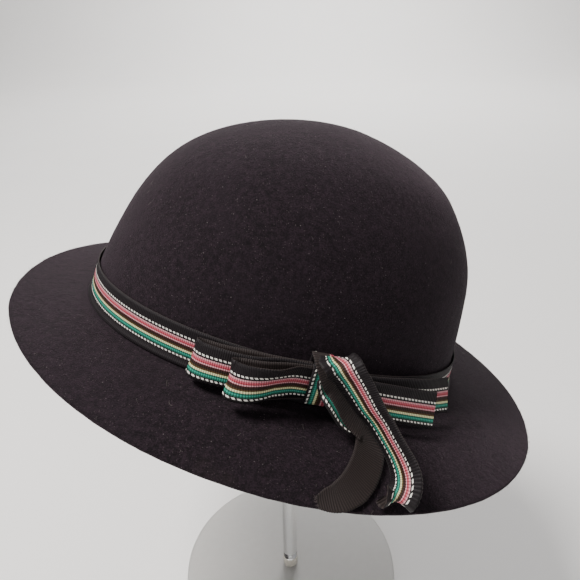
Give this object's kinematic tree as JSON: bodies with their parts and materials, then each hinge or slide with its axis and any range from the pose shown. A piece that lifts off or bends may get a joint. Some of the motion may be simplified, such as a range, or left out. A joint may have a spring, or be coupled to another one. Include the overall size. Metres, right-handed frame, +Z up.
{
  "type": "cloche hat on acrylic stand",
  "caption": "Black wool felt cloche hat with a striped grosgrain ribbon band and side bow, leaning on a clear acrylic stand with a round foot.",
  "frame": {"origin": "centre of the stand's round foot, on its underside", "axes": "+Z up along the rod, +X towards the wearer's front, -Y towards the side with the bow, which is the wearer's right"},
  "size_m": [0.2729, 0.2589, 0.3261],
  "materials": {
    "felt": "matt, fuzzy",
    "ribbon_striped": "ribbed, slight sheen",
    "ribbon_plain": "ribbed, slight sheen",
    "frosted_acrylic": "frosted, translucent",
    "clear_acrylic": "clear, polished",
    "cream_socket": "pale, satin"
  },
  "bodies": {
    "root": {"felt_body": "felt", "ribbon_band": "ribbon_striped", "bow_back_loop": "ribbon_striped", "bow_front_loop": "ribbon_striped", "bow_back_end": "ribbon_striped", "bow_front_end": "ribbon_striped", "bow_knot": "ribbon_striped", "striped_tail": "ribbon_striped", "turned_tail": "ribbon_plain", "stand_base": "frosted_acrylic", "stand_socket": "cream_socket", "stand_rod": "clear_acrylic", "stand_cap": "clear_acrylic"}
  },
  "joints": []
}
